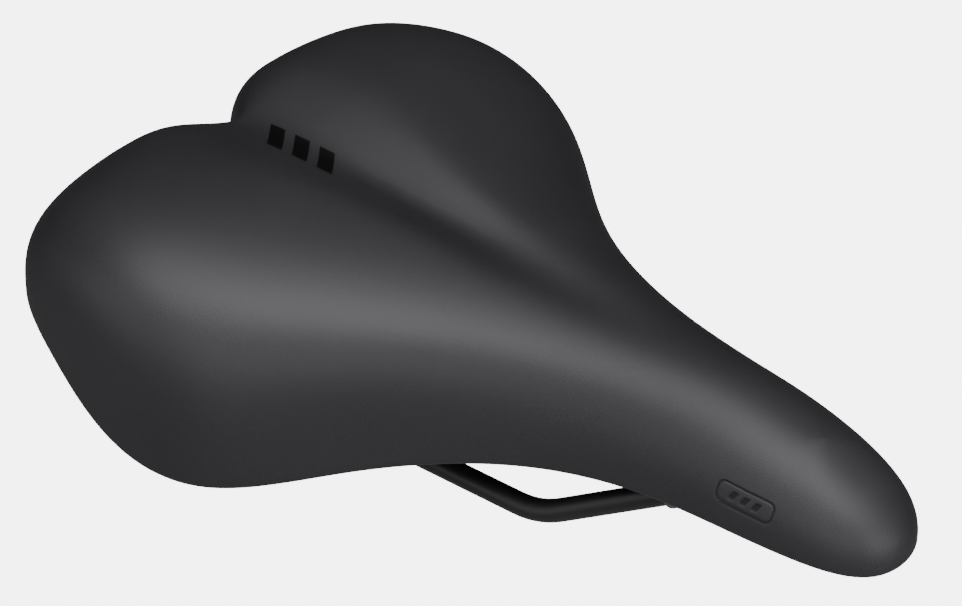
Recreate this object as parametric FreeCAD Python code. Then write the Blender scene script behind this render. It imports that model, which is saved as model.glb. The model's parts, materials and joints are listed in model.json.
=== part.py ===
"""Padded bicycle saddle with gel inserts, built as the separate pieces of the real one.

Frame: +X forward to the nose, +Y to the rider's left, +Z up. The origin is where the
seat post holds the saddle: midway between the two rails and at the middle of their
straight clamp length, on their centreline. All sizes are in millimetres.
"""

import FreeCAD, Part
import math
import os

Vector = FreeCAD.Vector

# ---------------------------------------------------------------- overall size
saddle_length = 266.0  # rear of the tail lobes to the tip of the nose
tail_width = 184.5  # across the widest part of the tail
saddle_height = 81.7  # of the tail's crown above the rails
clamp_share = 0.435  # share of the length that lies behind the clamp's middle
notch_depth = 19.8  # how far the notch between the tail lobes cuts forward
waist_width = 71.6  # at 58% of the length
stem_width = 50.8  # at 74% of the length
nose_width = 43.2  # at 90% of the length
nose_shoulder_width = 20.4  # at 99% of the length

# ---------------------------------------------------------------- padding
cover_thickness = 1.2
hem_width = 10.0  # cover turned in under the base's lip
foam_side = 4.6  # foam between the cover and the side of the base
layer_gap = 0.08  # play between layers that are glued together
channel_depth = 11.5
channel_rear_width = 39.0  # between the points where the groove is 1/e deep
channel_clamp_width = 17.4  # the same above the clamp and ahead of it
channel_end_share = 0.38  # share of the length at which the groove has half faded
channel_fade = 99.0  # length over which it fades
tail_fullness = 3.6  # of the padding's section: 2 is an ellipse, more is squarer
nose_fullness = 2.1
fullness_fade = 90.0  # length over which one passes into the other, round the clamp
spine_from_tail = 27.0  # where the spine that the padding slopes down from starts
spine_from_nose = 29.0

# ---------------------------------------------------------------- gel pads
gel_thickness = 8.0
gel_depth = 2.5  # foam skin between the cover and the gel
gel_length = 92.0
gel_width = 50.0
gel_x_share = 0.24
gel_edge = 49.0  # from the side of the tail to a pad's middle
gel_toe_in = 12.0  # degrees

# ---------------------------------------------------------------- base
base_wall = 2.6
lip_width = 3.4  # base's turned-in lip, measured inside its side wall
lip_thickness = 2.6
base_tail_roll = 34.0  # how far in from the edge the base's shoulder reaches
base_nose_roll = 17.0
base_over_rear = 29.0  # height of the base's top above the rail's rear ends
base_over_nose = 14.0  # and above its nose bend
rib_depth = 6.0
rib_thickness = 2.2
rib_spacing = 30.0  # between the two long ribs
long_rib_start = 33.0  # ahead of the tail
long_rib_length = 166.0
base_roll_power = 2.2
cross_rib_shares = (0.20, 0.31, 0.42, 0.53, 0.72)

# ---------------------------------------------------------------- rails
rail_diameter = 7.0
rail_spacing = 44.0  # between the centrelines along the clamp length
clamp_length = 70.0  # straight stretch that a seat post may grip
clamp_bend_radius = 28.0
rear_setback = 24.0  # rail ends, ahead of the tail
rear_rail_spacing = 70.0
rear_rise = 25.0
nose_setback = 50.0  # nose bend, behind the tip
nose_rise = 31.0
nose_rail_spacing = 16.0
nose_bend_radius = 7.5
groove_clearance = 0.1

# ---------------------------------------------------------------- rail fastenings
sleeve_length = 20.0
sleeve_wall = 1.1
sleeve_end_gap = 2.0
nose_sleeve_length = 21.0  # of each leg, from the front of the bend
keeper_length = 15.0
keeper_thickness = 2.2
keeper_margin = 1.6  # of the strap, beyond its screws' heads
screw_head_play = 0.3  # between a screw's head and what it sits beside
keeper_corner = 3.0
keeper_play = 0.5  # between a keeper and the base beside it
screw_radius = 1.75
screw_hole_play = 0.3
screw_head_radius = 3.6
screw_head_height = 2.2
screw_length = 11.0
screw_tip = 2.0
screw_point_radius = 0.3
recess_width = 0.9  # of the cross in the head
recess_span = 4.0
recess_depth = 1.3
head_round = 1.3
boss_wall = 2.5  # beside the sleeve's groove
pillar_radius = 5.0
boss_play = 0.4  # left under the bosses, so that the keepers pull up tight
nose_keeper_length = 36.0
nose_keeper_width = 18.0
nose_keeper_corner = 5.0
nose_keeper_round = 1.2  # of its lower rim

# ---------------------------------------------------------------- hem staples
staple_pitch = 15.0
staple_crown = 6.0
staple_wire = 0.6
staple_leg = 2.4
staple_shift = 1.5  # towards the inside, from the middle of the lip's reach

# ---------------------------------------------------------------- worked out
boss_height = 2 * saddle_height  # runs up past the base, and is trimmed to it
half_tail = tail_width / 2
tail_x = -clamp_share * saddle_length
nose_x = tail_x + saddle_length
rail_radius = rail_diameter / 2
base_inset = cover_thickness + foam_side + 2 * layer_gap
lip_inset = base_inset + base_wall + lip_width
LENGTH_STEPS = 34
WIDTH_STEPS = 26
CORNER_TAIL, CORNER_NOSE = 3, 11  # outline points where the surface patch has corners


def along(share):
    """Station at a share of the length, measured from the tail."""
    return tail_x + share * saddle_length


def profile(points):
    """Smooth curve through (x, value) points, flat beyond its ends."""
    xs = [p[0] for p in points]
    vs = [p[1] for p in points]
    slopes = []
    for i in range(len(xs)):
        low, high = max(i - 1, 0), min(i + 1, len(xs) - 1)
        slopes.append((vs[high] - vs[low]) / (xs[high] - xs[low]))

    def value(x):
        if x <= xs[0]:
            return vs[0]
        if x >= xs[-1]:
            return vs[-1]
        i = max(k for k in range(len(xs) - 1) if xs[k] <= x)
        step = xs[i + 1] - xs[i]
        t = (x - xs[i]) / step
        return (
            vs[i] * (1 + 2 * t) * (1 - t) ** 2
            + vs[i + 1] * (3 - 2 * t) * t**2
            + slopes[i] * step * t * (1 - t) ** 2
            + slopes[i + 1] * step * (t - 1) * t**2
        )

    return value


def side_profile(*points):
    """Height above the rails along the saddle, from (share of the length, height) points."""
    return profile([(along(share), height) for share, height in points])


crown_height = side_profile(
    (0.0, 81), (0.05, 81.4), (0.184, saddle_height), (0.338, 76),
    (0.492, 68), (0.646, 62.2), (0.82, 56.2), (0.933, 49.4), (1.0, 47),
)
edge_height = side_profile(
    (0.0, 45.2), (0.081, 36.8), (0.204, 19.7), (0.41, 16.1), (0.615, 25), (0.82, 27), (1.0, 22.6)
)
base_height = side_profile(
    (0.0, rear_rise + base_over_rear - 4), (0.12, rear_rise + base_over_rear), (0.3, 52),
    (0.45, 47), (0.62, 42), (0.82, nose_rise + base_over_nose), (1.0, nose_rise + base_over_nose - 7),
)
base_blend = profile([(along(0.3), 0.0), (along(0.5), 0.6), (along(0.72), 1.0)])
spine = (tail_x + spine_from_tail, nose_x - spine_from_nose)
channel_width = profile([(spine[0], channel_rear_width), (0.0, channel_clamp_width)])


def half_outline():
    """Points of the edge seen from above, from the notch round one side to the nose."""
    return [
        Vector(tail_x + notch_depth, 0, 0),
        Vector(along(0.035), 0.13 * half_tail, 0),
        Vector(along(0.0006), 0.493 * half_tail, 0),
        Vector(along(0.032), 0.82 * half_tail, 0),
        Vector(along(0.114), 0.942 * half_tail, 0),
        Vector(along(0.215), 0.998 * half_tail, 0),
        Vector(along(0.326), 0.951 * half_tail, 0),
        Vector(along(0.45), 0.632 * half_tail, 0),
        Vector(along(0.581), waist_width / 2, 0),
        Vector(along(0.738), stem_width / 2, 0),
        Vector(along(0.901), nose_width / 2, 0),
        Vector(along(0.99), nose_shoulder_width / 2, 0),
        Vector(nose_x, 0, 0),
    ]


class Outline:
    """Closed plan outline, with its inward offsets."""

    def __init__(self):
        left = half_outline()
        right = [Vector(p.x, -p.y, 0) for p in reversed(left[1:-1])]
        points = left + right
        marks = [0.0]
        for a, b in zip(points, points[1:] + points[:1]):
            marks.append(marks[-1] + a.distanceToPoint(b))
        self.curve = Part.BSplineCurve()
        self.curve.interpolate(Points=points, PeriodicFlag=True, Parameters=marks)
        self.total = marks[-1]
        self.tail_mark = marks[CORNER_TAIL]
        self.nose_mark = marks[CORNER_NOSE]

    def at(self, mark, inset=0.0):
        """Point at a mark along the outline, moved inwards by inset."""
        mark = mark % self.total
        point = self.curve.value(mark)
        tangent = self.curve.tangent(mark)[0]
        return Vector(point.x + tangent.y * inset, point.y - tangent.x * inset, 0)

    def distance(self, point):
        """Distance from a point inside to the outline."""
        nearest = self.curve.value(self.curve.parameter(point))
        return nearest.distanceToPoint(point)


outline = Outline()


def plan_grid(inset):
    """Grid of plan points that fills the outline, moved inwards by inset."""

    def side(start, end):
        return lambda t: outline.at(start + (end - start) * t, inset)

    tail = side(outline.total - outline.tail_mark, outline.total + outline.tail_mark)
    left = side(outline.tail_mark, outline.nose_mark)
    right = side(outline.total - outline.tail_mark, outline.total - outline.nose_mark)
    nose = side(outline.total - outline.nose_mark, outline.nose_mark)
    rows = []
    for i in range(LENGTH_STEPS + 1):
        u = (1 - math.cos(math.pi * i / LENGTH_STEPS)) / 2
        row = []
        for j in range(WIDTH_STEPS + 1):
            v = (1 - math.cos(math.pi * j / WIDTH_STEPS)) / 2
            across = tail(v) * (1 - u) + nose(v) * u
            sides = right(u) * (1 - v) + left(u) * v
            ends = tail(0) * (1 - v) + tail(1) * v, nose(0) * (1 - v) + nose(1) * v
            row.append(across + sides - ends[0] * (1 - u) - ends[1] * u)
        rows.append(row)
    return rows


def shoulder(depth, reach, power):
    """Share of the full height at a distance in from the edge, over a reach."""
    t = min(max(depth / reach, 0.0), 1.0)
    return (1 - (1 - t) ** power) ** (1 / power)


def channel(point):
    """Depth of the pressure-relief groove at a plan point."""
    fade = 0.5 - 0.5 * math.tanh((point.x - along(channel_end_share)) / (channel_fade / 2))
    return channel_depth * fade * math.exp(-((2 * point.y / channel_width(point.x)) ** 2))


def cushion_net(inset, drop, lift):
    """Grid of points on the padding's outside, moved inwards by inset and drop."""
    rows = plan_grid(inset)
    for row in rows:
        for p in row:
            mix = 0.5 + 0.5 * math.tanh(p.x / (fullness_fade / 2))
            power = tail_fullness + (nose_fullness - tail_fullness) * mix
            depth = max(outline.distance(p) - inset, 0.0)
            nearest = Vector(min(max(p.x, spine[0]), spine[1]), 0, 0)
            share = shoulder(depth, depth + nearest.distanceToPoint(p), power)
            low = edge_height(p.x) + lift
            p.z = low + (crown_height(p.x) - channel(p) - drop - low) * share
    return rows


def base_net(inset, drop, lift):
    """Grid of points on the base's outside, moved inwards by inset and drop."""
    rows = plan_grid(inset)
    for row in rows:
        for p in row:
            mix = base_blend(p.x)
            reach = base_tail_roll + (base_nose_roll - base_tail_roll) * mix - (inset - base_inset)
            share = shoulder(outline.distance(p) - inset, reach, base_roll_power)
            low = edge_height(p.x) + lift
            p.z = low + (base_height(p.x) - drop - low) * share
    return rows


def rim_net(inset, lift):
    """Grid whose border is the edge, moved inwards by inset and raised by lift."""
    rows = plan_grid(inset)
    for row in rows:
        for p in row:
            p.z = edge_height(p.x) + lift
    return rows


def spline_face(rows):
    """Face whose control points are the grid of points."""
    degree_u, degree_v = min(3, len(rows) - 1), min(3, len(rows[0]) - 1)

    def knots(count, degree):
        inner = count - degree - 1
        return [float(k) for k in range(inner + 2)], [degree + 1] + [1] * inner + [degree + 1]

    knots_u, mults_u = knots(len(rows), degree_u)
    knots_v, mults_v = knots(len(rows[0]), degree_v)
    surface = Part.BSplineSurface()
    surface.buildFromPolesMultsKnots(
        rows, mults_u, mults_v, knots_u, knots_v, False, False, degree_u, degree_v
    )
    return surface.toShape()


def borders(rows):
    """The four edges of a grid, each as a list of points."""
    return (
        rows[0],
        rows[-1],
        [row[0] for row in rows],
        [row[-1] for row in rows],
    )


def strips(net_a, net_b):
    """Ruled faces that join the borders of two grids."""
    return [spline_face([a, b]) for a, b in zip(borders(net_a), borders(net_b))]


def solid_from(faces):
    """Closed solid sewn from faces that share their borders."""
    shell = Part.makeShell(faces)
    shell.sewShape()
    solid = Part.Solid(Part.Shell(shell.Faces))
    if solid.Volume < 0:
        solid.reverse()
    return solid


def layered(*nets):
    """Solid bounded by the first and last grids, with the ones between as its rim."""
    faces = [spline_face(nets[0]), spline_face(nets[-1])]
    for a, b in zip(nets, nets[1:]):
        faces += strips(a, b)
    return solid_from(faces)


def mirrored(shape):
    """Left-hand copy of a right-hand shape."""
    return shape.mirror(Vector(0, 0, 0), Vector(0, 1, 0))


# ---------------------------------------------------------------- rail path
clamp_half = clamp_length / 2
rear_end = Vector(tail_x + rear_setback, -rear_rail_spacing / 2, rear_rise)
nose_corner = Vector(nose_x - nose_setback, -nose_rail_spacing / 2, nose_rise)


def clamp_corner(toward, side):
    """Corner of the rail's centreline at one end of the straight clamp length."""
    reach = 0.0
    for _ in range(20):  # the corner's place and its turn depend on each other
        corner = Vector(side * (clamp_half + reach), -rail_spacing / 2, 0)
        turn = (toward - corner).getAngle(Vector(side, 0, 0))
        reach = clamp_bend_radius * math.tan(turn / 2)
    return corner


rear_corner = clamp_corner(rear_end, -1)
front_corner = clamp_corner(nose_corner, 1)


def rail_wire():
    """Centreline of the one-piece rail: straight runs joined by tangent arcs."""
    right = [rear_end, rear_corner, front_corner, nose_corner]
    left = [Vector(p.x, -p.y, p.z) for p in reversed(right)]
    points = right + left
    radii = [0, clamp_bend_radius, clamp_bend_radius, nose_bend_radius]
    radii += list(reversed(radii))
    edges, start = [], points[0]
    for before, corner, after, radius in zip(points, points[1:], points[2:], radii[1:]):
        back = (before - corner).normalize()
        ahead = (after - corner).normalize()
        turn = math.pi - back.getAngle(ahead)
        cut = radius * math.tan(turn / 2)
        first, last = corner + back * cut, corner + ahead * cut
        middle = (back + ahead).normalize()
        waypoint = corner + middle * (radius / math.cos(turn / 2) - radius)
        edges.append(Part.LineSegment(start, first).toShape())
        edges.append(Part.Arc(first, waypoint, last).toShape())
        start = last
    edges.append(Part.LineSegment(start, points[-1]).toShape())
    return Part.Wire(edges)


def rod(radius):
    """Round bar of a given radius along the rail's centreline."""
    direction = (rear_corner - rear_end).normalize()
    ring = Part.Wire([Part.Circle(rear_end, direction, radius).toShape()])
    return rail_wire().makePipeShell([ring], True, True)


# ---------------------------------------------------------------- local frames
def frame_at(place, forward):
    """Placement with its X along forward, its Y level, and its Z upwards."""
    x_axis = Vector(forward).normalize()
    y_axis = Vector(0, 0, 1).cross(x_axis).normalize()
    z_axis = x_axis.cross(y_axis)
    matrix = FreeCAD.Matrix(
        x_axis.x, y_axis.x, z_axis.x, place.x,
        x_axis.y, y_axis.y, z_axis.y, place.y,
        x_axis.z, y_axis.z, z_axis.z, place.z,
        0, 0, 0, 1,
    )
    return FreeCAD.Placement(matrix)


rear_forward = rear_corner - rear_end
sleeve_middle = sleeve_end_gap + sleeve_length / 2
rear_frame = frame_at(rear_end + Vector(rear_forward).normalize() * sleeve_middle, rear_forward)
nose_forward = Vector(nose_corner.x - front_corner.x, 0, nose_corner.z - front_corner.z)
nose_frame = frame_at(Vector(nose_corner.x, 0, nose_corner.z), nose_forward)
sleeve_radius = rail_radius + groove_clearance / 2 + sleeve_wall
sleeve_bore = rail_radius + groove_clearance / 2
hump_radius = sleeve_radius + groove_clearance
rear_screw_y = hump_radius + keeper_thickness + screw_head_play + screw_head_radius
rear_keeper_width = 2 * (rear_screw_y + screw_head_radius + keeper_margin)
nose_screw_x = (
    -(nose_bend_radius + sleeve_radius + screw_head_radius),
    sleeve_radius + screw_head_radius + groove_clearance,
)


def placed(shape, frame):
    """Shape carried from a local frame into the saddle's frame."""
    moved = shape.copy()
    moved.Placement = frame.multiply(moved.Placement)
    return moved


def block(x_size, y_size, z_low, z_high):
    """Box centred in X and Y."""
    return Part.makeBox(x_size, y_size, z_high - z_low, Vector(-x_size / 2, -y_size / 2, z_low))


# ---------------------------------------------------------------- soft pieces
def make_cover():
    """Seamless cover, with its hem turned in under the base's lip."""
    return layered(
        cushion_net(0, 0, 0),
        rim_net(hem_width, 0),
        rim_net(hem_width, cover_thickness),
        cushion_net(cover_thickness, cover_thickness, cover_thickness),
    )


def gel_region(side):
    """Upright oval column that outlines one gel pad."""
    ellipse = Part.Ellipse(Vector(0, 0, 0), gel_length / 2, gel_width / 2)
    column = Part.Face(Part.Wire([ellipse.toShape()])).extrude(Vector(0, 0, 2 * saddle_height))
    turn = FreeCAD.Rotation(Vector(0, 0, 1), -side * gel_toe_in)
    column.Placement = FreeCAD.Placement(
        Vector(along(gel_x_share), side * (half_tail - gel_edge), 0), turn
    )
    return column


def make_gels():
    """Gel pads under the sit bones, left and right, cut from one layer of the padding."""
    top = cover_thickness + gel_depth
    bottom = top + gel_thickness
    layer = layered(cushion_net(top, top, top), cushion_net(bottom, bottom, top))
    return layer.common(gel_region(1)), layer.common(gel_region(-1))


def make_foam(gels):
    """Moulded foam between the cover and the base, pocketed for the gel."""
    lift = cover_thickness + layer_gap
    foam = layered(
        cushion_net(lift, lift, lift),
        base_net(base_inset - layer_gap, -layer_gap, lift),
    )
    for gel in gels:
        foam = foam.cut(gel)
    return foam


# ---------------------------------------------------------------- base
def under(net):
    """Everything below a grid's surface, down past the rails."""
    floor = [[Vector(p.x, p.y, -saddle_height) for p in row] for row in net]
    return layered(net, floor)


def rear_boss():
    """Right-hand boss for the rail's end: a cradle between two screw pillars."""
    cradle_width = 2 * (sleeve_radius + groove_clearance + boss_wall)
    shape = block(keeper_length, cradle_width, boss_play, boss_height)
    for side in (-1, 1):
        foot = Vector(0, side * rear_screw_y, boss_play)
        shape = shape.fuse(Part.makeCylinder(pillar_radius, boss_height, foot))
    return placed(shape.removeSplitter(), rear_frame)


def nose_boss():
    """Block that the rail's nose bend is screwed to."""
    shape = block(nose_keeper_length, nose_keeper_width, boss_play, boss_height)
    uprights = [e for e in shape.Edges if e.BoundBox.ZLength > boss_height / 2]
    shape = shape.makeFillet(nose_keeper_corner, uprights)
    shape.translate(Vector(sum(nose_screw_x) / 2, 0, 0))
    return placed(shape, nose_frame)


def keeper_room(length, width, middle, frame):
    """Space that a keeper and its screws' heads need below the base's bosses."""
    room = block(length + 2 * keeper_play, width + 2 * keeper_play, -saddle_height, boss_play)
    room.translate(Vector(middle, 0, 0))
    return placed(room, frame)


def ribs():
    """Stiffening ribs on the underside."""
    long_x = tail_x + long_rib_start + long_rib_length / 2
    places = [(long_x, side * rib_spacing / 2, long_rib_length, rib_thickness) for side in (-1, 1)]
    places += [(along(share), 0, rib_thickness, tail_width) for share in cross_rib_shares]
    found = []
    for x, y, x_size, y_size in places:
        rib = block(x_size, y_size, 0, saddle_height)
        rib.translate(Vector(x, y, 0))
        found.append(rib)
    return found[0].multiFuse(found[1:])


def make_base(rail_space, fasteners):
    """Moulded base: domed shell with a lip, ribs, and bosses for the rail."""
    lift = cover_thickness + layer_gap
    inner_inset = base_inset + base_wall
    shell = layered(
        base_net(base_inset, 0, lift),
        rim_net(lip_inset, lift),
        rim_net(lip_inset, lift + lip_thickness),
        base_net(inner_inset, base_wall, lift + lip_thickness),
    )
    rib_band = layered(
        base_net(inner_inset - base_wall / 2, base_wall / 2, lift + lip_thickness / 2),
        base_net(inner_inset, base_wall + rib_depth, lift + lip_thickness / 2),
    )
    inside = under(base_net(inner_inset - base_wall / 2, base_wall / 2, lift))
    boss = rear_boss()
    bosses = boss.fuse(mirrored(boss)).fuse(nose_boss()).common(inside)
    rear_room = keeper_room(keeper_length, rear_keeper_width, 0, rear_frame)
    rooms = [rear_room, mirrored(rear_room)]
    rooms.append(keeper_room(nose_keeper_length, nose_keeper_width, sum(nose_screw_x) / 2, nose_frame))
    inner = rib_band.common(ribs()).fuse(bosses)
    for room in rooms:
        inner = inner.cut(room)
    return shell.fuse(inner).cut(rail_space).cut(fasteners)


# ---------------------------------------------------------------- rail fastenings
def make_sleeve():
    """Right-hand nylon sleeve on the rail's end."""
    start, forward = Vector(-sleeve_length / 2, 0, 0), Vector(1, 0, 0)
    outer = Part.makeCylinder(sleeve_radius, sleeve_length, start, forward)
    bore = Part.makeCylinder(sleeve_bore, sleeve_length, start, forward)
    return placed(outer.cut(bore), rear_frame)


def sleeve_space():
    """Room for the right-hand sleeve and the rail's end in the base."""
    length = sleeve_length + 2 * sleeve_end_gap
    radius = sleeve_radius + groove_clearance
    room = Part.makeCylinder(radius, length, Vector(-length / 2, 0, 0), Vector(1, 0, 0))
    return placed(room, rear_frame)


def nose_stretch(margin):
    """Box round the rail's nose bend, as long as the nose sleeve and a margin."""
    low = -(nose_sleeve_length + margin)
    box = Part.makeBox(4 * nose_sleeve_length, 4 * rail_spacing, 4 * rail_spacing)
    box.translate(Vector(low, -2 * rail_spacing, -2 * rail_spacing))
    return placed(box, nose_frame)


def make_nose_sleeve():
    """Nylon liner round the rail's nose bend."""
    return rod(sleeve_radius).cut(rod(sleeve_bore)).common(nose_stretch(0))


def screw(head_down):
    """Pan-head screw along Z, its head's underside at height head_down."""
    top, bottom = head_down + screw_length, head_down - screw_head_height
    shank = Part.makeCylinder(screw_radius, screw_length, Vector(0, 0, head_down))
    tip = Part.makeCone(screw_radius, screw_point_radius, screw_tip, Vector(0, 0, top))
    head = Part.makeCylinder(screw_head_radius, screw_head_height, Vector(0, 0, bottom))
    rim = [e for e in head.Edges if e.BoundBox.ZMax < head_down - 0.1 and e.BoundBox.XLength > 1]
    head = head.makeFillet(head_round, rim)
    recess = block(recess_span, recess_width, bottom - 1, bottom + recess_depth)
    recess = recess.fuse(block(recess_width, recess_span, bottom - 1, bottom + recess_depth))
    return shank.fuse(tip).fuse(head).cut(recess).removeSplitter()


def rear_keeper():
    """Right-hand pressed strap that holds the rail's end up against its boss."""
    plate = block(keeper_length, rear_keeper_width, -keeper_thickness, 0)
    corners = [e for e in plate.Edges if e.BoundBox.ZLength > keeper_thickness * 0.9]
    plate = plate.makeFillet(keeper_corner, corners)
    forward = Vector(1, 0, 0)
    arch_radius = hump_radius + keeper_thickness
    arch = Part.makeCylinder(arch_radius, keeper_length, Vector(-keeper_length / 2, 0, 0), forward)
    arch = arch.common(block(keeper_length, 2 * arch_radius, -arch_radius, 0))
    trough = Part.makeCylinder(hump_radius, 2 * keeper_length, Vector(-keeper_length, 0, 0), forward)
    strap = plate.fuse(arch).removeSplitter().cut(trough)
    for side in (-1, 1):
        foot = Vector(0, side * rear_screw_y, -2 * keeper_thickness)
        strap = strap.cut(Part.makeCylinder(screw_radius + screw_hole_play, 4 * keeper_thickness, foot))
    return placed(strap, rear_frame)


def rear_screws():
    """Right-hand pair of keeper screws."""
    pair = []
    for side in (-1, 1):
        one = screw(-keeper_thickness)
        one.translate(Vector(0, side * rear_screw_y, 0))
        pair.append(placed(one, rear_frame))
    return pair


def nose_keeper(rail_space):
    """Plate under the rail's nose bend, grooved for it."""
    low = -sleeve_radius - keeper_thickness
    plate = block(nose_keeper_length, nose_keeper_width, low, -boss_play)
    corners = [e for e in plate.Edges if e.BoundBox.ZLength > abs(low) * 0.9]
    plate = plate.makeFillet(nose_keeper_corner, corners)
    foot = [e for e in plate.Edges if e.BoundBox.ZMax < low + 0.01]
    plate = plate.makeFillet(nose_keeper_round, foot)
    plate.translate(Vector(sum(nose_screw_x) / 2, 0, 0))
    for x in nose_screw_x:
        hole = Part.makeCylinder(screw_radius + screw_hole_play, abs(low), Vector(x, 0, low))
        plate = plate.cut(hole)
    return placed(plate, nose_frame).cut(rail_space)


def nose_screws():
    """Pair of screws through the nose plate."""
    pair = []
    for x in nose_screw_x:
        one = screw(-sleeve_radius - keeper_thickness)
        one.translate(Vector(x, 0, 0))
        pair.append(placed(one, nose_frame))
    return pair


# ---------------------------------------------------------------- staples
def staple(mark):
    """One staple that lies under the hem and bites up into the base's lip."""
    inset = (cover_thickness + lip_inset) / 2 + staple_shift
    place = outline.at(mark, inset)
    ahead = outline.at(mark + 1.0, inset) - outline.at(mark - 1.0, inset)
    ahead.z = ahead.x * (edge_height(place.x + 1) - edge_height(place.x - 1)) / 2
    place.z = edge_height(place.x)
    wire = block(staple_crown, staple_wire, -staple_wire, 0)
    for side in (-1, 1):
        leg = block(staple_wire, staple_wire, -staple_wire, staple_leg)
        leg.translate(Vector(side * (staple_crown - staple_wire) / 2, 0, 0))
        wire = wire.fuse(leg)
    return placed(wire.removeSplitter(), frame_at(place, ahead))


def make_staples():
    """Ring of staples all round the hem."""
    count = int(outline.total / staple_pitch)
    return [staple(outline.total * (k + 0.5) / count) for k in range(count)]


# ---------------------------------------------------------------- build
def export(name, shapes):
    """Writes one node's solids to its STEP file."""
    solids = [solid for shape in shapes for solid in shape.Solids]
    shape = solids[0] if len(solids) == 1 else Part.makeCompound(solids)
    shape.exportStep("parts/" + name + ".step")
    volume = sum(solid.Volume for solid in solids)
    print(f"{name:26s} solids {len(solids):2d} valid {shape.isValid()} volume {volume:10.0f} mm3")


def main():
    """Builds every piece and writes it."""
    os.makedirs("parts", exist_ok=True)
    nose_space = rod(sleeve_radius + groove_clearance).common(nose_stretch(sleeve_end_gap))
    rail_space = rod(rail_radius + groove_clearance).fuse(nose_space)
    rear_space = sleeve_space()
    all_space = rail_space.fuse(rear_space).fuse(mirrored(rear_space))
    sleeve = make_sleeve()
    rear_pair, nose_pair = rear_screws(), nose_screws()
    left_pair = [mirrored(s) for s in rear_pair]
    staples = make_staples()
    gels = make_gels()
    fasteners = Part.makeCompound(rear_pair + left_pair + nose_pair + staples)
    keeper = rear_keeper()
    pieces = {
        "cover": [make_cover().cut(Part.makeCompound(staples))],
        "foam_pad": [make_foam(gels)],
        "gel_pad_left": [gels[0]],
        "gel_pad_right": [gels[1]],
        "base_shell": [make_base(all_space, fasteners)],
        "rail_loop": [rod(rail_radius)],
        "rail_sleeve_right": [sleeve],
        "rail_sleeve_left": [mirrored(sleeve)],
        "nose_rail_sleeve": [make_nose_sleeve()],
        "rear_keeper_right": [keeper],
        "rear_keeper_left": [mirrored(keeper)],
        "rear_keeper_screws_right": rear_pair,
        "rear_keeper_screws_left": left_pair,
        "nose_keeper": [nose_keeper(rail_space)],
        "nose_keeper_screws": nose_pair,
        "hem_staples": staples,
    }
    for name, shapes in pieces.items():
        export(name, shapes)


main()
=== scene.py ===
"""Padded bicycle saddle: cover, foam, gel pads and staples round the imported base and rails.

Frame: metres, +X to the nose, +Y to the rider's left, +Z up, with the origin midway between
the rails at the middle of their clamp length. Sizes held in the classes are in millimetres.
"""

import json
import logging
import math
from collections.abc import Mapping, Sequence
from dataclasses import dataclass, field
from enum import Enum

import bmesh
import bpy
import numpy as np
from mathutils import Matrix, Vector
from mathutils.bvhtree import BVHTree


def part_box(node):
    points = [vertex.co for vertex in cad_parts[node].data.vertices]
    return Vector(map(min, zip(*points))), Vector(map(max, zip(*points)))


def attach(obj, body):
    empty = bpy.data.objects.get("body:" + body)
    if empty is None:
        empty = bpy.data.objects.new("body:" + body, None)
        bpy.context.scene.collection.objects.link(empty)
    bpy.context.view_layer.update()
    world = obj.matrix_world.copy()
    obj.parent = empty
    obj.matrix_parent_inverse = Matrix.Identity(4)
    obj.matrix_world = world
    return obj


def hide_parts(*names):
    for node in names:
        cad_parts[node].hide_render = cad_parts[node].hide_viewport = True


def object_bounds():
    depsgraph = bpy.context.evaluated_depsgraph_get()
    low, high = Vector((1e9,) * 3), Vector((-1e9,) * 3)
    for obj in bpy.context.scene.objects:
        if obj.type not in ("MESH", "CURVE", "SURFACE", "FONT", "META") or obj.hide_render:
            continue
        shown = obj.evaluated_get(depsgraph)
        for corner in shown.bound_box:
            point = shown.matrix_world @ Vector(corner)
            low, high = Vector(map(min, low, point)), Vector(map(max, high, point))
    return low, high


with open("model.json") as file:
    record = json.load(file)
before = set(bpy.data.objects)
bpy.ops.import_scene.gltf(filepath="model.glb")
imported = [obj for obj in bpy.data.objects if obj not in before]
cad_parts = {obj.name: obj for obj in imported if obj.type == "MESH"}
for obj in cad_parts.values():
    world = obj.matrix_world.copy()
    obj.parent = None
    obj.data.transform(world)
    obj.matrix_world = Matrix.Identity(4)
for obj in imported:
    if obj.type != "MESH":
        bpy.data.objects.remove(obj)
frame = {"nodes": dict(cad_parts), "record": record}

CAD_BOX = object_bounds()
LOG = logging.getLogger("saddle")
MM = 0.001
ROOT = "root"
ABOVE_ALL = 200.0  # height in millimetres that downward rays start from


# ---------------------------------------------------------------- curves and meshes
class EndRule(Enum):
    """How a smooth curve behaves at its two ends."""

    NATURAL = "no bend"
    LEVEL = "no slope"


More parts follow.
